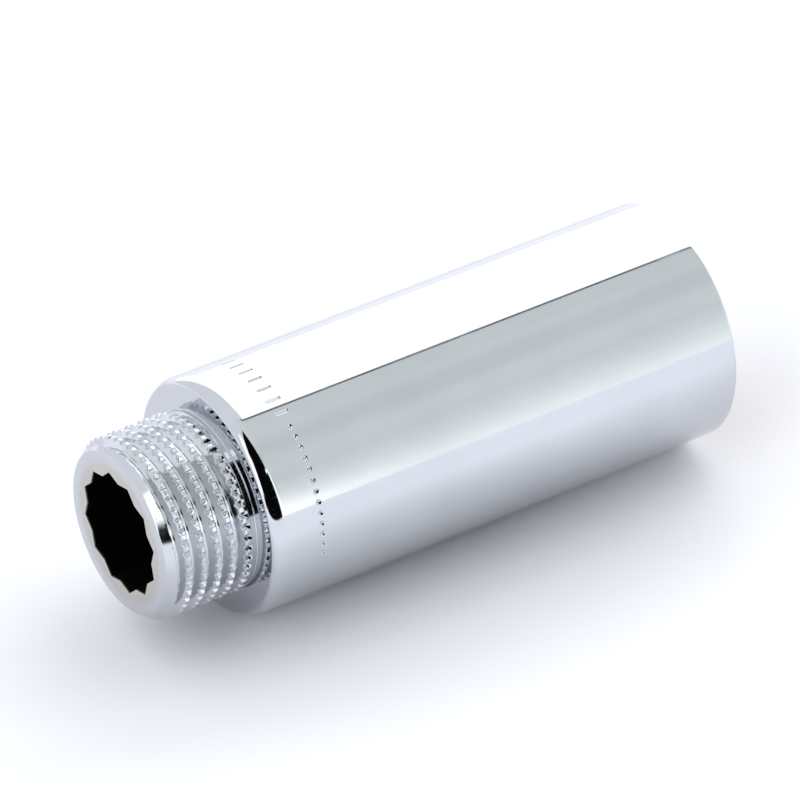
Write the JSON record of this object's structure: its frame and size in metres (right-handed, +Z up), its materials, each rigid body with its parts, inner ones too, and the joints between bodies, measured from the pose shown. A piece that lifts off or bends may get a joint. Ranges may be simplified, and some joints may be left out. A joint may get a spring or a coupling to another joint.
{
  "type": "tap extension fitting",
  "caption": "Chrome-plated brass tap extension: round barrel, male G1/2 thread with roughened crests and a 12-point drive socket, female G1/2 socket.",
  "frame": {"origin": "centre of the bounding box, on the fitting's axis, 24.5 mm behind the shoulder face", "axes": "+X along the fitting's axis, from the male spigot towards the female socket; +Z up, with the fitting lying on its side"},
  "size_m": [0.071, 0.027, 0.027],
  "materials": {
    "chrome_polished": "bright polished chrome plate, very fine handling marks",
    "chrome_thread": "bright chrome plate over machined and notched thread, satin end face",
    "brass_darkened": "broached brass with a dark oxide skin",
    "brass_bare": "machined brass, unplated"
  },
  "bodies": {
    "root": {"barrel": "chrome_polished", "male_spigot": "chrome_thread", "drive_bore": "brass_darkened", "waterway": "brass_bare", "female_thread": "brass_bare"}
  },
  "joints": []
}
